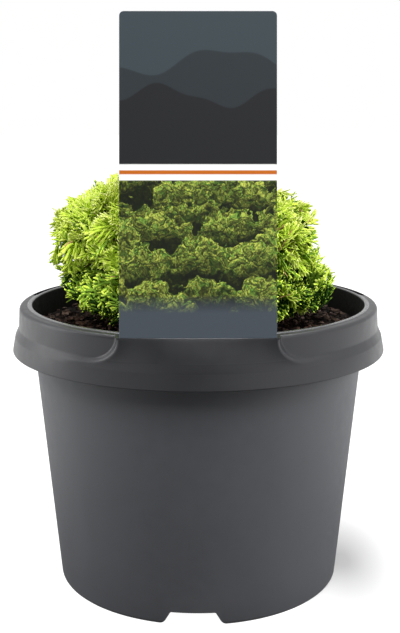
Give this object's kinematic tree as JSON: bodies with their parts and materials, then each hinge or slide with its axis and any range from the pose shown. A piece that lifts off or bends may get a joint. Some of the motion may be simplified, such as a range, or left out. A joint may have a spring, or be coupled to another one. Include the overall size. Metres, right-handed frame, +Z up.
{
  "type": "potted dwarf hinoki cypress",
  "caption": "Young dwarf hinoki cypress, a low dome of golden-green fan sprays, in a round dark grey nursery pot with a plain picture card in its rim.",
  "frame": {"origin": "centre of the pot's flat underside, on the surface it stands on", "axes": "+Z up along the pot's axis, -Y towards the front, where the card stands"},
  "size_m": [0.1902, 0.1902, 0.2854],
  "materials": {
    "pot": "semi-matt moulded",
    "soil": "loose bark and peat",
    "card": "satin print",
    "bark": "rough bark",
    "foliage": "scale leaves"
  },
  "bodies": {
    "root": {"pot": "pot", "soil": "soil", "card": "card", "trunk": "bark", "bough_low_1": "bark", "bough_low_2": "bark", "bough_low_3": "bark", "bough_low_4": "bark", "bough_low_5": "bark", "bough_low_6": "bark", "bough_high_1": "bark", "bough_high_2": "bark", "bough_high_3": "bark", "bough_high_4": "bark", "bough_high_5": "bark", "foliage_low_1": "foliage", "foliage_low_2": "foliage", "foliage_low_3": "foliage", "foliage_low_4": "foliage", "foliage_low_5": "foliage", "foliage_low_6": "foliage", "foliage_high_1": "foliage", "foliage_high_2": "foliage", "foliage_high_3": "foliage", "foliage_high_4": "foliage", "foliage_high_5": "foliage", "foliage_top": "foliage"}
  },
  "joints": []
}
